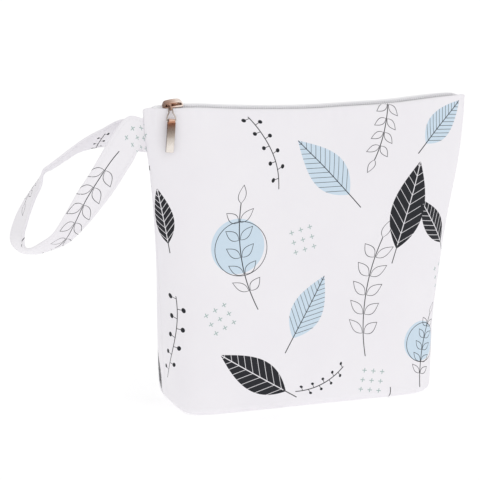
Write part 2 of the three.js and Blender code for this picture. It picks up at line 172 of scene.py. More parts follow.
# Zip
ZIP_SINK = 1.6
TAPE_HALF_LENGTH = 119.5
TAPE_TUCK = 3
TAPE_TUCK_START = 1
TAPE_TUCK_DROP = 2.2
TAPE_LEAST_WIDTH = 0.6
TAPE_EDGE_GAP = 0.05
TAPE_THICKNESS = 0.8
TAPE_STATIONS = 240
TAPE_COLUMNS = 12
TAPE_CORD_HEIGHT = 0.3
TAPE_CORD_OUT = 2.5
TAPE_CORD_WIDTH = 0.45
TAPE_FRONT_RISE = 0.7
TAPE_RISE_LENGTH = 1.6
TAPE_UNDER_COIL = 0.4
TAPE_MEETING = 0.12
TAPE_CLOSING = 1.5
# Painted shade of the gaps between the coil loops: dark dashes on the tapes beside the coil.
GAP_SHADE_OUT = 2.9
GAP_SHADE_HALF_WIDTH = 0.8
GAP_SHADE_GAIN = 2
COIL_HALF_WIDTH = 2
COIL_RIGHT_END = 118
TOOTH_PITCH = 1.75
TOOTH_RADIUS = 0.4
TOOTH_SIDES = 6
TOOTH_STEPS = 2
TOOTH_PATH = table(
    "out up",
    (2.05, -0.75), (2.1, 0.45), (1.75, 0.78), (0.2, 0.78), (-0.15, 0.5), (-0.15, -0.5), (0.3, -0.75),
)

# Slider, link and tab
SECTION_SIDES = 16
SECTION_SHARPNESS = 0.45
RING_SIDES = 32
PLATE_EDGE_STEPS = 4
SLIDER_X = -106
SLIDER_LENGTH = 15
SLIDER_STEPS = 4
SLIDER_HALF = table(
    "along aside",
    (SLIDER_LENGTH / 2, -2.6), (SLIDER_LENGTH / 2, 2.6), (6.3, 3.6), (0, 3.9),
    (-5, 4.6), (-6.8, 3.4), (-SLIDER_LENGTH / 2, 1.6),
)
SLIDER_PLATE = 1.5
SLIDER_TOP = 1.3
SLIDER_UNDER = -3.1
SLIDER_UNDER_SHARE = 0.86
SLIDER_ROUNDING = 0.55
SLIDER_PITCH = -5
POST_LENGTH = 3.4
POST_HALF_WIDTH = 1.4
POST_SINK = 0.4
POST_TO_TEETH = 1
BAIL_HALF_WIDTH = 3.1
BAIL_THICKNESS = 1
BAIL_STEPS = 8
BAIL_PATH = table(
    "x y z",
    (-6.5, 0, 2.8), (-5.9, 0, 4.1), (-4.4, 0, 4.8), (4.4, 0, 5.1), (6.1, 0, 4.3), (6.6, 0, 2.8),
)
BLOCK_LOW = SLIDER_TOP + 1
BLOCK_HIGH = 4.8
BLOCKS = table(
    "along behind half_length half_width",
    (-3.2, 0, 2, 3),
    (2.2, 2.4, 3.7, 0.6),
)
EYE_OFFSET = 7.6
EYE_LEVEL = 3
EYE_RADIUS = 1.9
EYE_HOLE = 1.05
EYE_THICKNESS = 1.2
EYE_NECK_ENDS = (6.3, 2.8)
EYE_NECK_LEVEL = 2.8
EYE_NECK_HALF_HEIGHT = 0.6
PULL_X = -110
WIRE_RADIUS = 0.5
WIRE_SIDES = 12
LINK_LOW_HALF_WIDTH = 3.25
LINK_STEPS = 10
LINK_HALF = table(
    "x y z",
    (0, 0, 0), (0.8, 0, 0), (1.35, 0, -0.6), (1.5, 0, -3.4), (2.85, 0, -5.8), (3.2, 0, -7.4),
    (LINK_LOW_HALF_WIDTH, 0, -8.9), (2.7, 0, -9.5), (0, 0, -9.5),
)
LINK_LEAN = 13
TAB_LEAN = 4
TAB_SLANT = 5.5
TAB_LENGTH = 22.5
TAB_HALF_WIDTH = 3.1
TAB_FOOT_HALF_WIDTH = 3
TAB_THICKNESS = 1.3
TAB_CORNER = 0.8
TAB_CORNER_STEPS = 6
TAB_ROWS = 16
TAB_ROUNDING = 0.4
TAB_BOW = 0.5
TAB_SHOULDER = -0.75
ROLL_RADIUS = 1.75
ROLL_HOLE = 0.9
ROLL_HALF_WIDTH = 2.5

# Thread
STITCH_LENGTH = 2.3
STITCH_PITCH = 3
STITCH_RADIUS = 0.19
STITCH_SIDES = 6
STITCH_RISE = (-0.9, 0.25, 0.6, 0.25, -0.9)

# Print: a half-drop repeat of leaves, sprigs, pebbles and small marks
REPEAT_ACROSS = 250
REPEAT_UP = 236
INK_SOFTNESS = 0.16
STEM_HALF_LINE = 0.36
FINE_HALF_LINE = 0.24
# Shape, place across and up, turn and size of each motif
PRINT_CHART = (
    ("pebble", -62, 128, 0, 20),
    ("sprig", -60, 124, 8, 1.2),
    ("dark_leaf", 74, 150, -18, 1.4),
    ("dark_leaf", 95, 136, 34, 0.9),
    ("blue_leaf", 6, 182, 42, 1.35),
    ("berries", -108, 62, -12, 1.3),
    ("dark_leaf", -48, 34, 58, 1.25),
    ("blue_leaf", -6, 80, -28, 1.2),
    ("sprig", 40, 90, -10, 1.35),
    ("pebble", 88, 46, 0, 15),
    ("sprig", 90, 42, -16, 0.85),
    ("crosses", -12, 130, 14, 1.2),
    ("crosses", 46, 20, -10, 1.2),
    ("crosses", 112, 94, 20, 1.2),
    ("crosses", -74, 76, 30, 1.2),
    ("berries", -36, 200, 24, 1.1),
    ("blue_leaf", 106, 208, -48, 1),
    ("dark_leaf", -118, 150, 12, 0.85),
    ("sprig", 58, 212, 164, 1),
    ("berries", 8, 22, -64, 0.8),
)

# Motifs at size one
Leaf = namedtuple("Leaf", "half_length half_width stalk_middle half_stalk vein_pitch")
DARK_LEAF = Leaf(24, 9.5, 27, 5, 5.2)
BLUE_LEAF = Leaf(21, 10, 25, 6, 3.6)
LEAF_REACH = 1.3
LEAF_FULLNESS = 0.32
VEIN_SLANT = 0.9
MIDRIB_SHARE = 0.75
SPRIG_PITCH = 10.5
SPRIG_PAIRS = 2
SPRIG_TOP = 2.75 * SPRIG_PITCH
SPRIG_FOOT = 4
SPRIG_BOW = 0.005
LEAFLET_OUT = 4.6
LEAFLET_LEAN = 50
LEAFLET_HALF_LENGTH = 5.2
LEAFLET_HALF_WIDTH = 2.4
PEBBLE_RING = 0.98
PEBBLE_RING_RIGHT = 0.12
PEBBLE_RING_DOWN = 0.09
TWIG_PITCH = 5.4
TWIG_STEPS = 4
TWIG_MIDDLE = 3
TWIG_HALF_LENGTH = TWIG_STEPS * TWIG_PITCH + 4
TWIG_BOW = 0.009
BERRY_OUT = 4.2
BERRY_RADIUS = 1.35
BERRY_HALF_STALK = 2
BERRY_STALK_SLANT = -0.1
CROSS_PITCH = 6.2
CROSS_STEPS = 1
CROSS_HALF_LINE = 0.34
CROSS_ARM = 1.5

# Finishes, with colours as they show on screen, and with the least roughness and its spread
Finish = namedtuple("Finish", "grain tones roughness")
COTTON = Finish(3, ((240, 237, 242), (245, 243, 246)), (0.76, 0.12))
TWILL = Finish(2, ((245, 244, 247), (252, 251, 253)), (0.7, 0.15))
NYLON = Finish(1.2, ((236, 235, 238), (246, 245, 248)), (0.32, 0.2))
THREAD = Finish(0.5, ((232, 230, 234), (246, 245, 247)), (0.7, 0))
COTTON_PATCHES = 42
COTTON_PITCH = 0.9
COTTON_UNEVENNESS = 0.5
COTTON_RELIEF = 0.03
TWILL_PITCH = 0.8
TWILL_RELIEF = 0.04
THREAD_RELIEF = 0.05
# Tone of the painted shade between the coil loops
PAINTED_GAP_SHADE = (140, 139, 145)
INK_TONES = {
    "blue": ((204, 222, 236), (211, 227, 240)),
    "green": ((166, 186, 183), (176, 194, 191)),
    "dark": ((30, 31, 36), (44, 45, 50)),
}
NOISE_DETAIL = 3
PLATING_CLOUD = 4
PLATING_ROUGHNESS = (0.18, 0.16)
# Painted shade on plated sides that face along X: its tone, and the sideways facing where it starts and
# where it is full.
PAINTED_SIDE_SHADE = (96, 84, 84)
SIDE_SHADE_START = 0.45
SIDE_SHADE_FULL = 0.8
RUB_WIDTH = 0.6
RUB_STRETCH = (1, 1, 0.12)
RUB_DEPTH = 0.004
# Each plating's tones are painted reflections that change along an axis; its edge is the weight of the
# painted shade on sides that face along X.
Plating = namedtuple("Plating", "cloudiness edge shades")
SLIDER_PLATING = Plating(0.4, 0.3, (
    (0, 146, 114, 98), (0.3, 184, 150, 132), (0.5, 222, 192, 176), (0.7, 246, 228, 217), (1, 248, 232, 222),
))
WIRE_PLATING = Plating(0.4, 0.3, (
    (0, 196, 186, 178), (0.27, 150, 136, 126), (0.73, 186, 174, 164), (1, 226, 218, 211),
))
# The tab's tones paint dark reflected bands below its roll and a painted highlight on the roll's top.
TAB_PLATING = Plating(0.1, 0.9, (
    (0, 234, 226, 218), (0.2, 234, 226, 219), (0.4, 204, 194, 185), (0.5, 174, 161, 151),
    (0.65, 142, 127, 117), (0.76, 134, 108, 94), (0.84, 122, 82, 65), (0.92, 190, 136, 108),
    (1, 226, 196, 178),
))

# Stage, with the photograph's viewpoint: from the front, a little to the left and above
CAMERA_TURN = 21.53
CAMERA_RISE = 11.71
CAMERA_DISTANCE = 1280.7
CAMERA_TARGET_HEIGHT = 112
CAMERA_AIM_SIDE = -52.24
CAMERA_AIM_HEIGHT = 117.98
IMAGE_SIZE = 480
FOCAL_PIXELS = 1700
SENSOR_WIDTH = 36
FLOOR_REACH = 20000
FLOOR_GLOW = 0.57
WORLD_STRENGTH = 0.83
LIGHT_STRENGTH = 0.28
LIGHT_SPREAD = 60
LIGHT_PLACE = (700, -1200, 1700)
LIGHT_AIM_HEIGHT = 120


def smooth_step(low, high, value):
    """A soft change from 0 at low to 1 at high."""
    share = np.clip((value - low) / (high - low), 0, 1)
    return share * share * (3 - 2 * share)


def curve(share, span, start, end, leave, arrive):
    """A smooth curve from start to end over a span, with its slopes at both."""
    ease = smooth_step(0, 1, share)
    bend = (1 - share) * leave - share * arrive
    return (1 - ease) * start + ease * end + span * share * (1 - share) * bend


def read_table(rows, key, column, at):
    """A value read from a table by a smooth curve through its rows."""
    places = rows[key]
    values = rows[column]
    order = np.arange(len(places))
    before = np.maximum(order - 1, 0)
    after = np.minimum(order + 1, order[-1])
    slopes = (values[after] - values[before]) / (places[after] - places[before])
    at = np.clip(at, places[0], places[-1])
    row = np.clip(np.searchsorted(places, at) - 1, 0, len(places) - 2)
    span = places[row + 1] - places[row]
    share = (at - places[row]) / span
    return curve(share, span, values[row], values[row + 1], slopes[row], slopes[row + 1])


def points_of(rows):
    """Points whose coordinates are the columns of a table."""
    return np.stack(list(rows.values()), 1)


def unit(vectors):
    """Vectors scaled to length one."""
    length = np.linalg.norm(vectors, axis=-1, keepdims=True)
    return vectors / np.maximum(length, LEAST_LENGTH)


def smooth_course(points, steps):
    """A smooth curve through points, with so many steps between each two."""
    ends = np.vstack([2 * points[0] - points[1], points, 2 * points[-1] - points[-2]])
    moves = np.diff(ends, axis=0)
    spans = np.sqrt(np.maximum(np.linalg.norm(moves, axis=1, keepdims=True), LEAST_GAP))
    paces = moves / spans
    slopes = paces[:-1] + paces[1:] - (ends[2:] - ends[:-2]) / (spans[:-1] + spans[1:])
    shares = np.arange(steps)[:, None] / steps
    course = [curve(shares, *stretch) for stretch in zip(spans[1:], points, points[1:], slopes, slopes[1:])]
    return np.vstack([*course, points[-1:]])


def run_length(points):
    """Distance along a line of points, from its first."""
    steps = np.linalg.norm(np.diff(points, axis=0), axis=1)
    return np.concatenate([[0], np.cumsum(steps)])


# Patches of mesh, and pieces made of them


def grid_patch(points, flat=None, closed=False, caps=False, flip=False):
    """Vertices, faces and flat coordinates of a grid, closed to a tube if asked."""
    rows, columns = points.shape[:2]
    row = np.arange(rows - 1)[:, None]
    column = np.arange(columns if closed else columns - 1)[None, :]
    after = (column + 1) % columns
    corners = [(row, column, column), (row, after, column + 1)]
    corners += [(row + 1, after, column + 1), (row + 1, column, column)]
    if flip:
        corners.reverse()
    faces = np.stack([down * columns + across for down, across, _ in corners], -1).reshape(-1, 4).tolist()
    if flat is None:
        flat = np.zeros((rows, columns + 1, 2))
    corner_flat = np.stack([flat[down, across] for down, _, across in corners], -2).reshape(-1, 2)
    if caps:
        first = np.arange(columns)[::-1]
        last = np.arange(columns) + (rows - 1) * columns
        faces += [(end[::-1] if flip else end).tolist() for end in (first, last)]
        corner_flat = np.vstack([corner_flat, np.zeros((2 * columns, 2))])
    return points.reshape(-1, 3), faces, corner_flat


def add_object(name, data):
    """A new object in the scene."""
    added = bpy.data.objects.new(name, data)
    bpy.context.scene.collection.objects.link(added)
    return added


def make_piece(name, patches, material, slot, body, *nodes, merge=False):
    """A piece from patches, which moves with a body and stands for nodes."""
    points, patch_faces, flats = zip(*patches)
    starts = np.cumsum([0, *map(len, points)]).tolist()
    faces = []
    for start, part in zip(starts, patch_faces):
        faces += [[corner + start for corner in face] for face in part]
    mesh = bpy.data.meshes.new(name)
    mesh.from_pydata((np.vstack(points) * MM).tolist(), [], faces)
    layer = mesh.uv_layers.new(name="flat")
    layer.data.foreach_set("uv", (np.vstack(flats) * MM).ravel())
    if merge:
        work = bmesh.new()
        work.from_mesh(mesh)
        bmesh.ops.remove_doubles(work, verts=work.verts, dist=MERGE_DISTANCE * MM)
        work.to_mesh(mesh)
        work.free()
    mesh.polygons.foreach_set("use_smooth", [True] * len(mesh.polygons))
    mesh.materials.append(material)
    mesh.validate()
    piece = add_object(name, mesh)
    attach(piece, body)
    if nodes:
        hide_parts(*nodes)
    return piece


def sweep_patch(middles, sides, ups, ring, flat=None, closed_path=False, flip=False):
    """A section carried along a line of points, capped or closed to a loop."""
    sides = np.broadcast_to(sides, middles.shape)[:, None]
    ups = np.broadcast_to(ups, middles.shape)[:, None]
    points = middles[:, None] + sides * ring[:, :1] + ups * ring[:, 1:]
    if closed_path:
        points = np.vstack([points, points[:1]])
    return grid_patch(points, flat, closed=True, caps=not closed_path, flip=flip)


def round_ring(radius, sides):
    """A round section."""
    angle = 2 * pi * np.arange(sides) / sides
    return radius * np.stack([np.cos(angle), np.sin(angle)], 1)


def softened_ring(half_width, half_height):
    """A rounded oblong section."""
    angle = 2 * pi * (np.arange(SECTION_SIDES) + 0.5) / SECTION_SIDES
    ways = np.stack([np.cos(angle), np.sin(angle)], 1)
    return np.sign(ways) * abs(ways) ** SECTION_SHARPNESS * [half_width, half_height]


def ring_patch(place, outer, hole, half_width):
    """A ring about an axis along X, with a softened section."""
    outs = np.insert(round_ring(1, RING_SIDES), 0, 0, axis=1)
    middles = np.array(place) + outs * (outer + hole) / 2
    section = softened_ring(half_width, (outer - hole) / 2)
    return sweep_patch(middles, ALONG_X, outs, section, closed_path=True)


def upright_patch(x, y, low, high, half_length, half_width):
    """A post with softened sides, from one height to another."""
    ends = np.array([[x, y, low], [x, y, high]])
    return sweep_patch(ends, ALONG_X, ALONG_Y, softened_ring(half_length, half_width))


def rounded_plate(outline, low, high, rounding):
    """A plate with an outline in plan, from low to high, its edges rounded over."""
    run = np.roll(outline, -1, 0) - np.roll(outline, 1, 0)
    inward = unit(np.stack([-run[:, 1], run[:, 0]], 1))
    turns = np.linspace(0, pi / 2, PLATE_EDGE_STEPS)
    insets = rounding * np.concatenate([1 - np.sin(turns), 1 - np.cos(turns)])
    levels = np.concatenate([low + rounding * (1 - np.cos(turns)), high - rounding * (1 - np.sin(turns))])
    rings = outline + inward * insets[:, None, None]
    heights = np.broadcast_to(levels[:, None, None], rings[:, :, :1].shape)
    return grid_patch(np.concatenate([rings, heights], 2), closed=True, caps=True)


def turned_patch(patch, place, lean, slant=0):
    """A patch turned about Y and then about X through the origin, and then moved."""
    points, faces, flat = patch
    turn = Matrix.Rotation(radians(lean), 3, "X") @ Matrix.Rotation(radians(slant), 3, "Y")
    return points @ np.array(turn).T + np.array(place), faces, flat


# Shape of the bag


Section = namedtuple("Section", BAG_SECTIONS)


def section_at(height, inset):
    """The bag's level section at a height, drawn in by an inset and the rounded lower edge."""
    section = Section(*(float(read_table(BAG_SECTIONS, "height", name, height)) for name in BAG_SECTIONS))
    drop = max(BASE_EDGE_RADIUS - height, 0)
    inset += BASE_EDGE_RADIUS - sqrt(BASE_EDGE_RADIUS**2 - drop**2)
    return section._replace(half_width=section.half_width - inset, half_depth=section.half_depth - inset)


def section_depth(section, x):
    """Depth of a section in front of or behind the seam plane."""
    across = np.minimum(abs((x - section.shift) / section.half_width), 1)
    return section.half_depth * (1 - across ** section.face) ** (1 / section.side)


def half_outline(section, facing, shares):
    """Points of half a section at shares of its length, and that length."""
    angle = np.linspace(pi, 0, OUTLINE_SAMPLES + 1)
    cosine = np.cos(angle)
    x = section.shift + section.half_width * np.sign(cosine) * abs(cosine) ** (2 / section.face)
    y = facing * section.half_depth * abs(np.sin(angle)) ** (2 / section.side)
    run = run_length(np.stack([x, y], 1))
    at = shares * run[-1]
    return np.interp(at, run, x), np.interp(at, run, y), run[-1]


def top_lift(x, y, level):
    """The dip of the top edge and the tilt of the zip, fading out down the walls."""
    fade = (level / BAG_HEIGHT) ** TOP_EDGE_FADE
    dip = read_table(TOP_EDGE, "across", "rise", x / TOP_HALF_WIDTH)
    return fade * (dip + TOP_TILT_SLOPE * y)


def zip_level(x, y):
    """Height of the middle of the tapes."""
    return BAG_HEIGHT - ZIP_SINK + top_lift(x, y, BAG_HEIGHT)


PanelRow = namedtuple("PanelRow", "height inset level reach")


def panel_rows():
    """Rows of a panel: base, wall, folded top edge and turned-in hem."""
    fold = WALL_THICKNESS / 2
    rows = [PanelRow(0, 0, 0, share) for share in np.arange(BASE_ROWS) / BASE_ROWS]
    edge = BASE_EDGE_RADIUS * (1 - np.cos(np.linspace(0, pi / 2, EDGE_ROWS, endpoint=False)))
    wall = np.linspace(BASE_EDGE_RADIUS, BAG_HEIGHT - fold, WALL_ROWS)
    rows += [PanelRow(height, 0, height, 1) for height in (*edge, *wall)]
    for turn in np.linspace(0, pi, ROLL_ROWS + 1)[1:]:
        inset = fold * (1 - cos(turn))
        rows.append(PanelRow(BAG_HEIGHT, inset, BAG_HEIGHT - fold + fold * sin(turn), 1))
    for drop in np.linspace(0, HEM_DEPTH, HEM_ROWS + 1)[1:]:
        level = BAG_HEIGHT - fold - drop
        rows.append(PanelRow(level, WALL_THICKNESS, level, 1))
    return rows


def wave(distance, length, turn):
    """A wave of a length, started at a turn in radians."""
    return np.sin(2 * pi * distance / length + turn)


def panel_relief(u, level, tip_distance, facing, beside_root):
    """How far the cloth stands proud: slack, puckers by the zip, gathers and sunk side seams."""
    # The facing shifts each wave, so that the two panels aren't alike.
    slack = 0
    for across, up, turn, depth in zip(*SLACK_WAVES.values()):
        slack += depth * np.sin(2 * pi * (u / across + level / up) + turn + facing)
    below_top = BAG_HEIGHT - level
    slack *= smooth_step(*SLACK_FROM_BASE, level) * smooth_step(*SLACK_FROM_TOP, below_top)
    slack *= smooth_step(*SLACK_FROM_SEAM, tip_distance)
    wander = PUCKER_WANDER * wave(u, WANDER_LENGTH, facing)
    swell = PUCKER_MEAN + PUCKER_SWELL * wave(u, SWELL_LENGTH, 2 * facing)
    pucker = PUCKER_DEPTH * swell * wave(u, PUCKER_LENGTH, wander)
    pucker *= np.exp(-below_top / PUCKER_REACH) * smooth_step(*PUCKER_FROM_TOP, below_top)
    groove = GROOVE_DEPTH * (1 - beside_root) * np.exp(-((tip_distance / GROOVE_WIDTH) ** 2))
    gather = GATHER_DEPTH * wave(level, GATHER_LENGTH, facing) * np.exp(-tip_distance / GATHER_REACH)
    gather *= smooth_step(*GATHER_FROM_SEAM, tip_distance) * smooth_step(*GATHER_FROM_BASE, level)
    return slack + pucker - groove + gather


def panel_grid(facing):
    """Points and flat coordinates of one panel, with its half of the base."""
    even = np.linspace(0, 1, PANEL_COLUMNS + 1)
    shares = even - SEAM_CROWDING * np.sin(2 * pi * even) / (2 * pi)
    root_edge = STRAP_WIDTH / 2
    points = []
    relief = []
    spread = []
    for row in panel_rows():
        x, y, length = half_outline(section_at(row.height, row.inset), facing, shares)
        tip_distance = np.minimum(shares, 1 - shares) * length
        pinch = smooth_step(*PINCH_ALONG, abs(x)) * smooth_step(*PINCH_UP, row.level)
        closed_depth = WALL_THICKNESS - row.inset
        y = y - facing * pinch * np.maximum(abs(y) - closed_depth, 0)
        from_root = abs(row.level - ROOT_HEIGHT)
        beside_root = (1 - smooth_step(root_edge, root_edge + ROOT_MARGIN, from_root)) * (x < 0)
        opening = ROOT_THICKNESS * beside_root * (1 - smooth_step(*ROOT_OPENING, tip_distance))
        y = y * row.reach + facing * (PIECE_GAP / 2 + opening)
        lip = smooth_step(BAG_HEIGHT - BACK_LIP_REACH, BAG_HEIGHT, row.level) * (facing > 0)
        level = row.level + top_lift(x, y, row.level) - BACK_LIP_DROP * lip
        points.append(np.stack([x, SEAM_PLANE_Y + y, level], 1))
        spread.append((shares - 0.5) * length)
        on_wall = row.reach if row.inset == 0 else 0
        relief.append(on_wall * panel_relief(spread[-1], row.level, tip_distance, facing, beside_root))
    points = np.array(points)
    along = np.gradient(points, axis=1)
    upward = np.gradient(points, axis=0)
    outward = -facing * unit(np.cross(along, upward))
    points += outward * np.array(relief)[:, :, None]
    climb = run_length(points[:, PANEL_COLUMNS // 2])
    across = BACK_CUT * (facing > 0) - facing * np.array(spread)
    up = np.broadcast_to((climb - climb[BASE_ROWS])[:, None], across.shape)
    return points, np.stack([across, up], 2)


# Materials


def paint(red, green, blue):
    """A colour as shaders take it, from its sRGB values on screen."""
    share = np.array([red, green, blue]) / 255
    linear = np.where(share <= 0.04045, share / 12.92, ((share + 0.055) / 1.055) ** 2.4)
    return (*linear.tolist(), 1)


class Field:
    """A number that varies over a surface, made by math nodes."""

    def __init__(self, tree, socket):
        self.tree = tree
        self.socket = socket

    def math(self, operation, *others, clamp=False):
        node = self.tree.nodes.new("ShaderNodeMath")
        node.operation = operation
        node.use_clamp = clamp
        for place, value in enumerate((self, *others)):
            if isinstance(value, Field):
                self.tree.links.new(value.socket, node.inputs[place])
            else:
                node.inputs[place].default_value = value
        return Field(self.tree, node.outputs[0])

    __add__ = partialmethod(math, "ADD")
    __sub__ = partialmethod(math, "SUBTRACT")
    __mul__ = partialmethod(math, "MULTIPLY")
    __abs__ = partialmethod(math, "ABSOLUTE")
    most = partialmethod(math, "MAXIMUM")
    least = partialmethod(math, "MINIMUM")

    def __rsub__(self, other):
        return self.math("MULTIPLY_ADD", -1, other)

    def within(self, limit):
        return self.least(limit).most(-limit)

    def wrapped(self, period):
        return self.math("WRAP", period / 2, -period / 2)

    def wave(self, period):
        return (self * (2 * pi / period)).math("SINE")


def new_material(name, **values):
    """A material and its shader, with plain values set on it."""
    material = bpy.data.materials.new(name)
    material.use_nodes = True
    shader = material.node_tree.nodes["Principled BSDF"]
    for socket, value in values.items():
        shader.inputs[socket.replace("_", " ")].default_value = value
    return material, material.node_tree, shader


def flat_fields(tree):
    """The flat cloth coordinates, in millimetres."""
    flat = tree.nodes.new("ShaderNodeUVMap")
    flat.uv_map = "flat"
    parts = tree.nodes.new("ShaderNodeSeparateXYZ")
    tree.links.new(flat.outputs["UV"], parts.inputs[0])
    return [Field(tree, parts.outputs[axis]) * (1 / MM) for axis in "XY"]


def place_field(tree, axis, kind="Object"):
    """A coordinate of the place on the object, or of the direction that it faces."""
    place = tree.nodes.new("ShaderNodeTexCoord")
    parts = tree.nodes.new("ShaderNodeSeparateXYZ")
    tree.links.new(place.outputs[kind], parts.inputs[0])
    return Field(tree, parts.outputs[axis])


def noise_field(tree, size, stretch=(1, 1, 1)):
    """Smooth noise from 0 to 1, with spots of about a size in millimetres."""
    place = tree.nodes.new("ShaderNodeTexCoord")
    mapping = tree.nodes.new("ShaderNodeMapping")
    mapping.inputs["Scale"].default_value = stretch
    noise = tree.nodes.new("ShaderNodeTexNoise")
    noise.inputs["Scale"].default_value = 1 / (size * MM)
    noise.inputs["Detail"].default_value = NOISE_DETAIL
    tree.links.new(place.outputs["Object"], mapping.inputs["Vector"])
    tree.links.new(mapping.outputs["Vector"], noise.inputs["Vector"])
    return Field(tree, noise.outputs["Fac"])


def mixed_color(share, low, high):
    """A colour between two, each a colour on screen or another mix."""
    mix = share.tree.nodes.new("ShaderNodeMix")
    mix.data_type = "RGBA"
    share.tree.links.new(share.socket, mix.inputs["Factor"])
    sockets = [entry for entry in mix.inputs if entry.type == "RGBA"]
    for socket, value in zip(sockets, (low, high)):
        if isinstance(value, tuple):
            socket.default_value = paint(*value)
        else:
            share.tree.links.new(value, socket)
    return next(entry for entry in mix.outputs if entry.type == "RGBA")


def set_surface(shader, color, grain, roughness):
    """Gives a shader its colour, and a roughness that varies with a grain."""
    least, spread = roughness
    rough = grain.math("MULTIPLY_ADD", spread, least)
    grain.tree.links.new(color, shader.inputs["Base Color"])
    grain.tree.links.new(rough.socket, shader.inputs["Roughness"])


def add_bump(shader, height, depth):
    """Fine relief of a depth in millimetres."""
    bump = height.tree.nodes.new("ShaderNodeBump")
    bump.inputs["Distance"].default_value = depth * MM
    height.tree.links.new(height.socket, bump.inputs["Height"])
    height.tree.links.new(bump.outputs["Normal"], shader.inputs["Normal"])


# Print motifs: each takes the distances across and along it, and gives its inks


def inked(gap):
    """Ink inside a shape, from the distance to its edge."""
    return gap.math("MULTIPLY_ADD", -1 / INK_SOFTNESS, 0.5, clamp=True)


def disc_gap(across, along, radius):
    """Distance to the edge of a disc."""
    return (across * across + along * along).math("SQRT") - radius


def bar_gap(across, along, half_width, half_length):
    """Distance to the edge of a bar."""
    return (abs(across) - half_width).most(abs(along) - half_length)


def leaf_gap(across, along, half_length, half_width):
    """Distance to the edge of a leaf that is fuller towards its foot."""
    share = (along * (1 / half_length)).within(LEAF_REACH)
    fullness = share.math("MULTIPLY_ADD", -LEAF_FULLNESS * half_width, half_width)
    return abs(across) - (1 - share * share) * fullness


def nearest_step(along, pitch, steps):
    """Number of the nearest step in a row about its middle."""
    return (along * (1 / pitch)).math("ROUND").within(steps)


def leaf_parts(across, along, size, leaf):
    """Blade, stalk and veins of a leaf: a midrib with slanting side veins."""
    blade = inked(leaf_gap(across, along, leaf.half_length * size, leaf.half_width * size))
    from_stalk = along + leaf.stalk_middle * size
    stalk = inked(bar_gap(across, from_stalk, STEM_HALF_LINE, leaf.half_stalk * size))
    side_veins = abs((along - abs(across) * VEIN_SLANT).wrapped(leaf.vein_pitch * size))
    veins = inked(side_veins.least(abs(across) * MIDRIB_SHARE) - FINE_HALF_LINE)
    return blade, stalk, veins


def dark_leaf(across, along, size):
    """A dark leaf with its veins left white."""
    blade, stalk, veins = leaf_parts(across, along, size, DARK_LEAF)
    return {"dark": (blade * (1 - veins)).most(stalk)}


def blue_leaf(across, along, size):
    """A pale leaf with dark veins."""
    blade, stalk, veins = leaf_parts(across, along, size, BLUE_LEAF)
    return {"blue": blade, "dark": (blade * veins).most(stalk)}


def sprig(across, along, size):
    """A bowed stem with pairs of leaflets in outline and one at its tip."""
    pitch = SPRIG_PITCH * size
    top = SPRIG_TOP * size
    foot = SPRIG_FOOT * size
    half_leaf = LEAFLET_HALF_LENGTH * size
    leaf_width = LEAFLET_HALF_WIDTH * size
    lean = radians(LEAFLET_LEAN)
    bowed = across - along * along * (SPRIG_BOW / size)
    beside = along - nearest_step(along, pitch, SPRIG_PAIRS) * pitch
    out = abs(bowed) - LEAFLET_OUT * size
    along_leaf = out * sin(lean) + beside * cos(lean)
    across_leaf = beside * sin(lean) - out * cos(lean)
    leaflet = leaf_gap(across_leaf, along_leaf, half_leaf, leaf_width)
    tip = leaf_gap(bowed, along - (top + half_leaf), half_leaf, leaf_width)
    stem = bar_gap(bowed, along + foot, STEM_HALF_LINE, top + foot)
    line = abs(leaflet.least(tip)) - FINE_HALF_LINE
    return {"dark": inked(line.least(stem))}


def pebble(across, along, size):
    """A pale disc with a thin ring drawn a little off it."""
    disc = disc_gap(across, along, size)
    ring_across = across - PEBBLE_RING_RIGHT * size
    ring_along = along + PEBBLE_RING_DOWN * size
    ring = abs(disc_gap(ring_across, ring_along, PEBBLE_RING * size)) - FINE_HALF_LINE
    return {"blue": inked(disc), "dark": inked(ring)}


def berries(across, along, size):
    """A bowed twig with round berries to either side in turn."""
    pitch = TWIG_PITCH * size
    half_stalk = BERRY_HALF_STALK * size
    bowed = across + along * along * (TWIG_BOW / size)
    step = nearest_step(along, pitch, TWIG_STEPS)
    side = step.math("PINGPONG", 1).math("MULTIPLY_ADD", 2, -1)
    beside = along - step * pitch
    out = bowed * side
    from_berry = out - BERRY_OUT * size
    berry = disc_gap(from_berry, beside, BERRY_RADIUS * size)
    slanted = beside + from_berry * BERRY_STALK_SLANT
    stalk = bar_gap(slanted, out - half_stalk, FINE_HALF_LINE, half_stalk)
    stem = bar_gap(bowed, along + TWIG_MIDDLE * size, STEM_HALF_LINE, TWIG_HALF_LENGTH * size)
    return {"dark": inked(berry.least(stalk).least(stem))}


def crosses(across, along, size):
    """Nine small crosses in three rows."""
    pitch = CROSS_PITCH * size
    one_across = across - nearest_step(across, pitch, CROSS_STEPS) * pitch
    one_along = along - nearest_step(along, pitch, CROSS_STEPS) * pitch
    upright = bar_gap(one_across, one_along, CROSS_HALF_LINE, CROSS_ARM * size)
    level = bar_gap(one_along, one_across, CROSS_HALF_LINE, CROSS_ARM * size)
    return {"green": inked(upright.least(level))}


MOTIFS = {shape.__name__: shape for shape in (dark_leaf, blue_leaf, sprig, pebble, berries, crosses)}


def motif_inks(u, v, shape, place_u, place_v, turn, size):
    """The inks of one motif wherever it comes in the repeat."""
    from_u = u - place_u
    column = (from_u * (1 / REPEAT_ACROSS)).math("ROUND")
    right = column.math("MULTIPLY_ADD", -REPEAT_ACROSS, from_u)
    drop = column.math("PINGPONG", 1)
    up = drop.math("MULTIPLY_ADD", REPEAT_UP / 2, v - place_v).wrapped(REPEAT_UP)
    cosine = cos(radians(turn))
    sine = sin(radians(turn))
    return MOTIFS[shape](right * cosine + up * sine, up * cosine - right * sine, size)


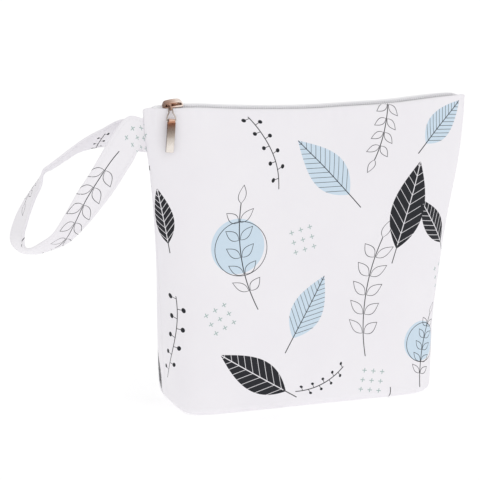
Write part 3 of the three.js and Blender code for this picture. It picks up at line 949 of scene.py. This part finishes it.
def printed_cloth():
    """White plain-weave cotton with the leaf print."""
    material, tree, shader = new_material("printed_cloth", Sheen_Weight=0.08, Specular_IOR_Level=0.25)
    u, v = flat_fields(tree)
    inks = {}
    for motif in PRINT_CHART:
        for ink, share in motif_inks(u, v, *motif).items():
            inks[ink] = inks[ink].most(share) if ink in inks else share
    grain = noise_field(tree, COTTON.grain)
    color = mixed_color(noise_field(tree, COTTON_PATCHES), *COTTON.tones)
    for ink, tones in INK_TONES.items():
        color = mixed_color(inks[ink], color, mixed_color(grain, *tones))
    set_surface(shader, color, grain, COTTON.roughness)
    weave = u.wave(COTTON_PITCH) * v.wave(COTTON_PITCH) + grain * COTTON_UNEVENNESS
    add_bump(shader, weave, COTTON_RELIEF)
    return material


def zip_tape_cloth():
    """Close twill, with painted shade as dark dashes beside the coil, where the coil is sewn on."""
    material, tree, shader = new_material("zip_tape_cloth", Sheen_Weight=0.1, Specular_IOR_Level=0.3)
    u, v = flat_fields(tree)
    grain = noise_field(tree, TWILL.grain)
    # Painted shade: dark dashes at the tooth pitch, standing in for the shade between the coil loops.
    beside_coil = abs(v - GAP_SHADE_OUT) - GAP_SHADE_HALF_WIDTH
    gap_shade_band = inked(beside_coil.most(SLIDER_X - u))
    painted_gap_shade = u.wave(TOOTH_PITCH).math("MULTIPLY", GAP_SHADE_GAIN, clamp=True) * gap_shade_band
    color = mixed_color(painted_gap_shade, mixed_color(grain, *TWILL.tones), PAINTED_GAP_SHADE)
    set_surface(shader, color, grain, TWILL.roughness)
    add_bump(shader, (u + v).wave(TWILL_PITCH) + grain, TWILL_RELIEF)
    return material


def coil_nylon():
    """Satin nylon of the zip teeth."""
    material, tree, shader = new_material("coil_nylon", Specular_IOR_Level=0.5)
    grain = noise_field(tree, NYLON.grain)
    set_surface(shader, mixed_color(grain, *NYLON.tones), grain, NYLON.roughness)
    return material


def white_thread():
    """Twisted sewing thread."""
    material, tree, shader = new_material("white_thread", Sheen_Weight=0.2)
    grain = noise_field(tree, THREAD.grain)
    set_surface(shader, mixed_color(grain, *THREAD.tones), grain, THREAD.roughness)
    add_bump(shader, grain, THREAD_RELIEF)
    return material


def plated_metal(name, axis, ends, plating):
    """Polished plating with painted reflections as tones along an axis, cloudy, rubbed, with painted shade
    on its sides.
    """
    material, tree, shader = new_material(name, Metallic=1.0)
    low, high = ends
    cloudy = (noise_field(tree, PLATING_CLOUD) - 0.5) * plating.cloudiness
    share = (place_field(tree, axis) * (1 / MM) - low) * (1 / (high - low)) + cloudy
    # The ramp paints reflections as tones along the axis.
    ramp = tree.nodes.new("ShaderNodeValToRGB")
    tree.links.new(share.socket, ramp.inputs["Fac"])
    stops = ramp.color_ramp.elements
    stops[0].color = paint(*plating.shades[0][1:])
    stops[1].color = paint(*plating.shades[-1][1:])
    for place, *shade in plating.shades[1:-1]:
        stops.new(place).color = paint(*shade)
    # Painted shade: sides that face along X are darkened towards a dark tone.
    sideways = abs(place_field(tree, "X", "Normal")) - SIDE_SHADE_START
    painted_side_shade = sideways.math("MULTIPLY", 1 / (SIDE_SHADE_FULL - SIDE_SHADE_START), clamp=True) * plating.edge
    color = mixed_color(painted_side_shade, ramp.outputs["Color"], PAINTED_SIDE_SHADE)
    rubbed = noise_field(tree, RUB_WIDTH, RUB_STRETCH)
    set_surface(shader, color, rubbed, PLATING_ROUGHNESS)
    add_bump(shader, rubbed, RUB_DEPTH)
    return material


# Pieces


def seam_tuck(points, flat, column, inward):
    """The cloth turned in at a side seam, behind one edge column of a panel."""
    edge = points[:, [column]]
    edge_flat = flat[:, [column]]
    depth = SEAM_TUCK * smooth_step(0, BASE_EDGE_RADIUS, edge[:, :, 2:])
    near = edge + inward * ALONG_X * SEAM_TUCK_GAP * (depth > 0)
    far = edge + inward * ALONG_X * (SEAM_TUCK_GAP + depth)
    outward = np.sign(edge_flat - flat[:, [PANEL_COLUMNS // 2]])[:1, :, :1]
    far_flat = edge_flat + np.concatenate([outward * depth, 0 * depth], 2)
    columns = [(near, edge_flat), (far, far_flat)]
    if inward > 0:
        columns.reverse()
    return [np.concatenate(pair, 1) for pair in zip(*columns)]


def make_panel(name, facing, cloth, node):
    """One cloth wall of the bag, with the cloth turned in at its side seams."""
    points, flat = panel_grid(facing)
    wall_rows = slice(BASE_ROWS + SEAM_TUCK_START_ROW, BASE_ROWS + EDGE_ROWS + WALL_ROWS)
    wall = points[wall_rows], flat[wall_rows]
    sheets = [(points, flat), seam_tuck(*wall, 0, 1), seam_tuck(*wall, -1, -1)]
    patches = [grid_patch(*sheet, flip=facing > 0) for sheet in sheets]
    piece = make_piece(name, patches, cloth, "cloth", "bag", node, merge=True)
    shell = piece.modifiers.new("cloth_thickness", "SOLIDIFY")
    shell.thickness = CLOTH_THICKNESS * MM
    shell.offset = -1
    return piece


def left_seam(height):
    """The side seam on the left, where the band's ends are caught."""
    section = section_at(height, 0)
    x = section.shift - section.half_width - PIECE_GAP
    return np.array([x, SEAM_PLANE_Y, height + top_lift(x, 0, height)])


def strap_stations():
    """Middle, width direction and facing direction of the band at each station."""
    seam_low = left_seam(ROOT_HEIGHT - STRAP_WIDTH / 2)
    seam_high = left_seam(ROOT_HEIGHT + STRAP_WIDTH / 2)
    root = (seam_low + seam_high) / 2
    root_spans = [unit(seam_high - seam_low)] * 2
    beside = ALONG_Y * (ROOT_THICKNESS + PIECE_GAP) / 2
    inside = ALONG_X * ROOT_SINK
    near_root = [root - beside + inside, root - beside]
    far_root = [root + beside, root + beside + inside]
    course = points_of(STRAP_COURSE)
    middles = smooth_course(np.vstack([near_root, course[:, :3], far_root]), STRAP_STEPS)
    spans = unit(smooth_course(np.vstack([root_spans, unit(course[:, 3:]), root_spans]), STRAP_STEPS))
    run = unit(np.gradient(middles, axis=0))
    return middles, spans, unit(np.cross(run, spans))


def strap_half_thickness(across):
    """Half the band's thickness at a share of its half width, dented along the stitches."""
    edge = STRAP_THICKNESS / STRAP_WIDTH
    into_edge = np.clip((abs(across) - (1 - edge)) / edge, 0, 1)
    from_stitches = (abs(across) - 1) * STRAP_WIDTH / 2 + STRAP_STITCH_INSET
    dent = STRAP_DENT * np.exp(-((from_stitches / STRAP_DENT_WIDTH) ** 2))
    return (STRAP_THICKNESS / 2) * np.sqrt(1 - into_edge**2) * (1 - dent)


def strap_ring():
    """The band's section, up its outer face and back down its inner one."""
    across = np.sin(np.linspace(-1, 1, STRAP_COLUMNS) * pi / 2)
    across = np.concatenate([across, across[-2:0:-1]])
    face = np.where(np.arange(len(across)) < STRAP_COLUMNS, 1, -1)
    return np.stack([across * STRAP_WIDTH / 2, face * strap_half_thickness(across)], 1)


def make_strap(cloth, thread):
    """The wrist band, and the stitches along its edges."""
    middles, spans, outs = strap_stations()
    run = run_length(middles)
    from_seam = np.minimum(run, run[-1] - run) - ROOT_SINK
    root_share = ROOT_THICKNESS / STRAP_THICKNESS
    fullness = root_share + (1 - root_share) * smooth_step(0, ROOT_LENGTH, from_seam)
    lifts = outs * fullness[:, None]
    ring = strap_ring()
    around = run_length(np.vstack([ring, ring[:1]]))
    flat = np.stack(np.meshgrid(around, run), 2) + STRAP_CUT
    patch = sweep_patch(middles, spans, lifts, ring, flat, flip=True)
    piece = make_piece("wrist_band", [patch], cloth, "cloth", "bag", "wrist_strap")
    stitches = []
    inset = 1 - 2 * STRAP_STITCH_INSET / STRAP_WIDTH
    depth = strap_half_thickness(inset)
    for side in (-1, 1):
        for face in (-1, 1):
            line = middles + spans * (side * inset * STRAP_WIDTH / 2) + lifts * (face * depth)
            stitches += stitch_patches(line, outs * face)
    return piece, make_piece("wrist_band_stitches", stitches, thread, "cloth", "bag")


def read_line(at, run, values):
    """Values along a line, at distances from its start."""
    return np.stack([np.interp(at, run, column) for column in values.T], 1)


def stitch_patches(line, ups):
    """Single stitches along a line on the cloth, each dipping in at its ends."""
    run = run_length(line)
    ring = round_ring(STITCH_RADIUS, STITCH_SIDES)
    rise = np.array(STITCH_RISE)[:, None] * STITCH_RADIUS
    patches = []
    for start in np.arange(STITCH_PITCH, run[-1] - STITCH_PITCH, STITCH_PITCH):
        at = start + np.linspace(-0.5, 0.5, len(rise)) * STITCH_LENGTH
        middle = read_line(at, run, line)
        up = unit(read_line(at, run, ups))
        side = unit(np.cross(unit(np.gradient(middle, axis=0)), up))
        patches.append(sweep_patch(middle + up * rise, side, up, ring))
    return patches


def make_tape(name, facing, cloth, node):
    """A zip tape with a raised cord by the teeth and its ends tucked under."""
    mouth = section_at(BAG_HEIGHT, WALL_THICKNESS if facing < 0 else PIECE_GAP)
    end = TAPE_HALF_LENGTH + TAPE_TUCK
    half = TAPE_THICKNESS / 2
    x = np.linspace(-end, end, TAPE_STATIONS + 1)[:, None]
    toothed = smooth_step(SLIDER_X - SLIDER_LENGTH / 2, SLIDER_X, x)
    toothed *= 1 - smooth_step(COIL_RIGHT_END, COIL_RIGHT_END + TAPE_CLOSING, x)
    inside = TAPE_MEETING + (COIL_HALF_WIDTH - TAPE_UNDER_COIL - TAPE_MEETING) * toothed
    tucked = smooth_step(TAPE_HALF_LENGTH - TAPE_TUCK_START, end, abs(x))
    open_depth = section_depth(mouth, np.clip(x, -TAPE_HALF_LENGTH, TAPE_HALF_LENGTH))
    spare_width = np.maximum(open_depth - TAPE_EDGE_GAP - inside - TAPE_LEAST_WIDTH, 0)
    width = TAPE_LEAST_WIDTH + spare_width * (1 - tucked)
    out = inside + width * np.linspace(0, 1, TAPE_COLUMNS)
    cord = TAPE_CORD_HEIGHT * np.exp(-(((out - TAPE_CORD_OUT) / TAPE_CORD_WIDTH) ** 2))
    rise = TAPE_FRONT_RISE * smooth_step(COIL_HALF_WIDTH, COIL_HALF_WIDTH + TAPE_RISE_LENGTH, out)
    rise *= (facing < 0) * (1 - tucked)
    level = zip_level(x, facing * out) - TAPE_TUCK_DROP * tucked + rise
    ring_level = np.hstack([level + half + cord, (level - half)[:, ::-1]])
    ring_out = np.hstack([out, out[:, ::-1], out[:, :1]])
    flat = np.stack([np.broadcast_to(x, ring_out.shape), ring_out], 2)
    points = np.stack([flat[:, :-1, 0], SEAM_PLANE_Y + facing * flat[:, :-1, 1], ring_level], 2)
    patch = grid_patch(points, flat, closed=True, caps=True, flip=facing < 0)
    make_piece(name, [patch], cloth, "zip_tape", "bag", node)


def make_teeth(nylon):
    """Two rows of coil loops, set half a step apart so that they mesh."""
    left = SLIDER_X - SLIDER_LENGTH / 2 + POST_LENGTH + POST_TO_TEETH
    ring = round_ring(TOOTH_RADIUS, TOOTH_SIDES)
    path = smooth_course(points_of(TOOTH_PATH), TOOTH_STEPS)
    run = unit(np.gradient(path, axis=0))
    patches = []
    for facing in (-1, 1):
        y = facing * path[:, 0]
        ups = np.stack([0 * y, -run[:, 1], facing * run[:, 0]], 1)
        start = left + TOOTH_PITCH / 2 * (facing > 0)
        for x in np.arange(start, COIL_RIGHT_END, TOOTH_PITCH):
            level = zip_level(x, y) + path[:, 1]
            middles = np.stack([np.full(len(path), x), SEAM_PLANE_Y + y, level], 1)
            patches.append(sweep_patch(middles, ALONG_X, ups, ring))
    make_piece("zip_teeth", patches, nylon, "zip_coil", "bag", "zip_coil")


def slider_outline():
    """A slider plate in plan: broad at the nose, narrower at the tail."""
    half = points_of(SLIDER_HALF)
    mirrored = half[::-1] * [1, -1]
    return smooth_course(np.vstack([half, mirrored[:-2], half[:1]]), SLIDER_STEPS)[:-1]


def bail_patch():
    """The flat strap that stands over the slider's upper plate."""
    path = smooth_course(points_of(BAIL_PATH), BAIL_STEPS)
    lifts = np.cross(unit(np.gradient(path, axis=0)), ALONG_Y)
    return sweep_patch(path, ALONG_Y, lifts, softened_ring(BAIL_HALF_WIDTH, BAIL_THICKNESS / 2))


def eye_patches():
    """The eye in front of the slider that holds the pull, and its neck."""
    x = PULL_X - SLIDER_X
    eye = ring_patch((x, -EYE_OFFSET, EYE_LEVEL), EYE_RADIUS, EYE_HOLE, EYE_THICKNESS / 2)
    ends = np.array([[x, -front, EYE_NECK_LEVEL] for front in EYE_NECK_ENDS])
    neck = sweep_patch(ends, ALONG_X, ALONG_Z, softened_ring(EYE_THICKNESS / 2, EYE_NECK_HALF_HEIGHT))
    return eye, neck


def make_slider(metal):
    """Two plates on a post, the bail over them and the eye for the pull."""
    outline = slider_outline()
    under_outline = outline * [1, SLIDER_UNDER_SHARE]
    post_x = (POST_LENGTH - SLIDER_LENGTH) / 2
    post_ends = SLIDER_UNDER + POST_SINK, SLIDER_TOP + POST_SINK
    patches = [
        rounded_plate(outline, SLIDER_TOP, SLIDER_TOP + SLIDER_PLATE, SLIDER_ROUNDING),
        rounded_plate(under_outline, SLIDER_UNDER, SLIDER_UNDER + SLIDER_PLATE, SLIDER_ROUNDING),
        upright_patch(post_x, 0, *post_ends, POST_LENGTH / 2, POST_HALF_WIDTH),
        bail_patch(),
    ]
    for along, behind, half_length, half_width in zip(*BLOCKS.values()):
        patches.append(upright_patch(along, behind, BLOCK_LOW, BLOCK_HIGH, half_length, half_width))
    tilt = degrees(atan(TOP_TILT_SLOPE))
    place = (SLIDER_X, SEAM_PLANE_Y, float(zip_level(SLIDER_X, 0)))
    turned = [turned_patch(patch, place, tilt, SLIDER_PITCH) for patch in patches]
    turned += [turned_patch(patch, place, tilt) for patch in eye_patches()]
    make_piece("slider_body", turned, metal, "slider_metal", "bag", "zip_slider")


def joint_place(name):
    """Where a joint's axis passes, in millimetres."""
    joint = next(entry for entry in frame["joints"] if entry["name"] == name)
    return np.array(joint["pos_m"]) / MM


def make_link(metal):
    """A bent wire link from the eye to the tab's roll."""
    half = points_of(LINK_HALF)
    corners = np.vstack([half, half[-2:0:-1] * [-1, 1, 1], half[:1]])
    middles = smooth_course(corners, LINK_STEPS)[:-1]
    run = unit(np.roll(middles, -1, 0) - np.roll(middles, 1, 0))
    ring = round_ring(WIRE_RADIUS, WIRE_SIDES)
    wire = sweep_patch(middles, np.cross(run, ALONG_Y), ALONG_Y, ring, closed_path=True)
    patch = turned_patch(wire, joint_place("link_swing"), -LINK_LEAN)
    make_piece("link_wire", [patch], metal, "link_metal", "link", "pull_link")


def tab_outline():
    """The tab's blade from the front, from its roll down to its rounded foot."""
    foot = -TAB_LENGTH
    turns = np.linspace(0, pi / 2, TAB_CORNER_STEPS + 1)
    corner = TAB_CORNER * np.stack([1 - np.cos(turns), 1 - np.sin(turns)], 1)
    left_foot = np.array([-TAB_FOOT_HALF_WIDTH, foot]) + corner
    rise = np.linspace(TAB_SHOULDER, foot + TAB_CORNER, TAB_ROWS)
    half_width = np.interp(rise, [foot, TAB_SHOULDER], [TAB_FOOT_HALF_WIDTH, TAB_HALF_WIDTH])
    left = np.vstack([np.stack([-half_width, rise], 1), left_foot[1:]])
    return np.vstack([left, left[::-1] * [-1, 1]])


def make_tab(metal):
    """A flat tab with a rolled upper end."""
    half = TAB_THICKNESS / 2
    points, faces, flat = rounded_plate(tab_outline(), -half, half, TAB_ROUNDING)
    x, z, y = points.T
    share = np.clip(-z / TAB_LENGTH, 0, 1)
    bow = TAB_BOW * 4 * share * (1 - share)
    blade = (np.stack([x, -y - bow, z], 1), faces, flat)
    roll = ring_patch((0, 0, 0), ROLL_RADIUS, ROLL_HOLE, ROLL_HALF_WIDTH)
    place = joint_place("tab_swing")
    patches = [turned_patch(patch, place, -TAB_LEAN, TAB_SLANT) for patch in (blade, roll)]
    make_piece("tab_blade", patches, metal, "slider_metal", "tab", "pull_tab")


# Stage


def make_floor():
    """A plain pale floor."""
    mesh = bpy.data.meshes.new("floor")
    reach = FLOOR_REACH * MM
    corners = [(-reach, -reach, 0), (reach, -reach, 0), (reach, reach, 0), (-reach, reach, 0)]
    mesh.from_pydata(corners, [], [(0, 1, 2, 3)])
    glow = {"Emission_Color": (1, 1, 1, 1), "Emission_Strength": FLOOR_GLOW}
    material, *_ = new_material("pale_floor", Base_Color=(0.5, 0.5, 0.5, 1), Roughness=0.9, **glow)
    mesh.materials.append(material)
    add_object("floor", mesh)


def aimed(name, data, place, aim):
    """A light or camera put at a place and turned to its aim."""
    holder = add_object(name, data)
    holder.location = place * MM
    holder.rotation_euler = (aim - place).to_track_quat("-Z", "Y").to_euler()
    return holder


def make_light():
    """Pale surroundings and a broad light from above, in front and to the right."""
    world = bpy.data.worlds.new("studio")
    world.use_nodes = True
    background = world.node_tree.nodes["Background"]
    background.inputs["Color"].default_value = (1, 1, 1, 1)
    background.inputs["Strength"].default_value = WORLD_STRENGTH
    bpy.context.scene.world = world
    broad = bpy.data.lights.new("broad_light", "SUN")
    broad.energy = LIGHT_STRENGTH
    broad.angle = radians(LIGHT_SPREAD)
    aimed("broad_light", broad, Vector(LIGHT_PLACE), Vector((0, 0, LIGHT_AIM_HEIGHT)))
    bpy.context.scene.view_settings.view_transform = "Standard"


def make_camera():
    """The photograph's viewpoint."""
    turn = radians(CAMERA_TURN)
    rise = radians(CAMERA_RISE)
    back = Vector((-sin(turn) * cos(rise), -cos(turn) * cos(rise), sin(rise)))
    side = Vector((cos(turn), -sin(turn), 0))
    eye = Vector((0, 0, CAMERA_TARGET_HEIGHT)) + back * CAMERA_DISTANCE
    aim = Vector((0, 0, CAMERA_AIM_HEIGHT)) + side * CAMERA_AIM_SIDE
    data = bpy.data.cameras.new("camera")
    data.sensor_width = SENSOR_WIDTH
    data.lens = SENSOR_WIDTH * FOCAL_PIXELS / IMAGE_SIZE
    bpy.context.scene.camera = aimed("camera", data, eye, aim)


make_camera()
make_light()
make_floor()

cloth = printed_cloth()
tape_cloth = zip_tape_cloth()
thread = white_thread()
slider_ends = SLIDER_X - SLIDER_LENGTH / 2, SLIDER_X + SLIDER_LENGTH / 2
slider_metal = plated_metal("slider_plating", "X", slider_ends, SLIDER_PLATING)
link_ends = PULL_X - LINK_LOW_HALF_WIDTH, PULL_X + LINK_LOW_HALF_WIDTH
wire_metal = plated_metal("wire_plating", "X", link_ends, WIRE_PLATING)
tab_level = joint_place("tab_swing")[2]
tab_ends = tab_level - TAB_LENGTH, tab_level + ROLL_RADIUS
tab_metal = plated_metal("tab_plating", "Z", tab_ends, TAB_PLATING)

front = make_panel("front_cloth", -1, cloth, "front_panel")
back = make_panel("back_cloth", 1, cloth, "back_panel")
band, band_stitches = make_strap(cloth, thread)
make_tape("tape_front", -1, tape_cloth, "zip_tape_front")
make_tape("tape_back", 1, tape_cloth, "zip_tape_back")
make_teeth(coil_nylon())
make_slider(slider_metal)
make_link(wire_metal)
make_tab(tab_metal)
